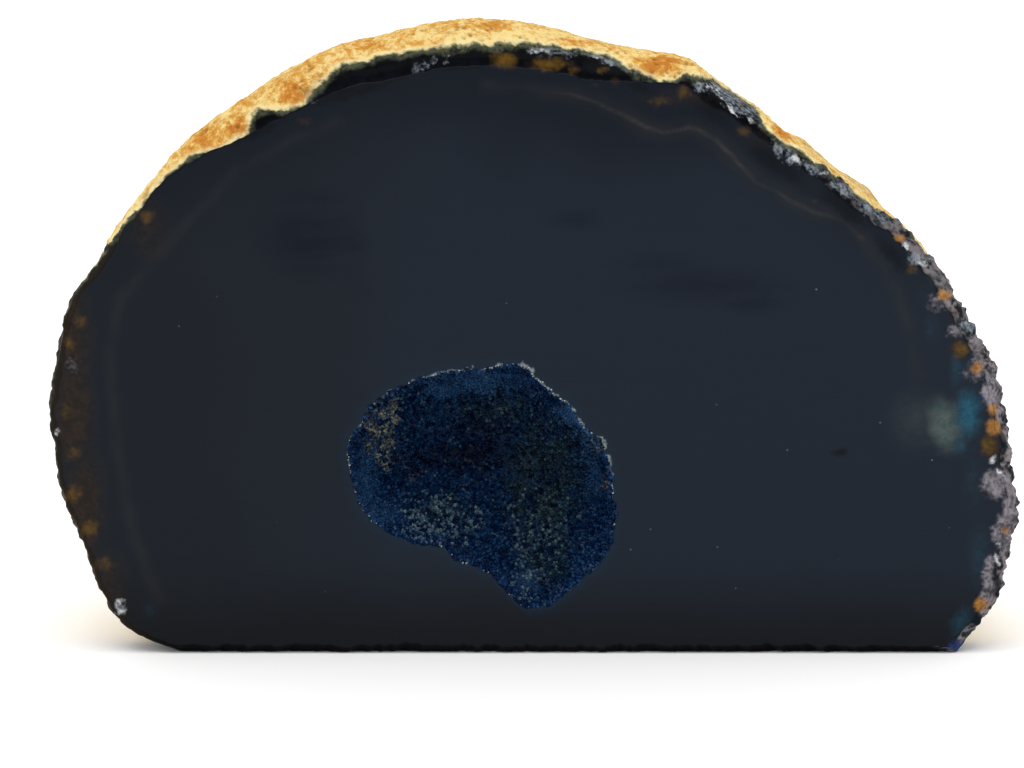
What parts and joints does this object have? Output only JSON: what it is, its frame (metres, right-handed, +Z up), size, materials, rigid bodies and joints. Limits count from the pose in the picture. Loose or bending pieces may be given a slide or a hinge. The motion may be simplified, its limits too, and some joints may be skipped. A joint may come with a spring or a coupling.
{
  "type": "agate geode",
  "caption": "Half-round dyed agate geode: polished dark blue face, crystal-lined hollow, rough cream rind behind and a sawn flat base that it stands on.",
  "frame": {"origin": "on the surface that the sawn base rests on, under the middle of the stone's box", "axes": "+Z up out of the sawn base; the polished face looks along -Y, so +Y runs through the stone to its rounded back; +X to the right as seen from in front of the polished face"},
  "size_m": [0.13, 0.05, 0.0848],
  "materials": {
    "agate": "dyed chalcedony, polished to a gloss on the front face and its rolled edge, dark slate blue with faint tan banding and a translucent brown rim",
    "rind": "rough, pitted, matt rind, cream with orange iron stains",
    "druse": "fine sparkling quartz druse, dyed dark blue, with whitish crystals along the mouth",
    "sawn_agate": "sawn and left matt, blue grey with fine bands"
  },
  "bodies": {
    "root": {"agate_geode": "agate"}
  },
  "joints": []
}
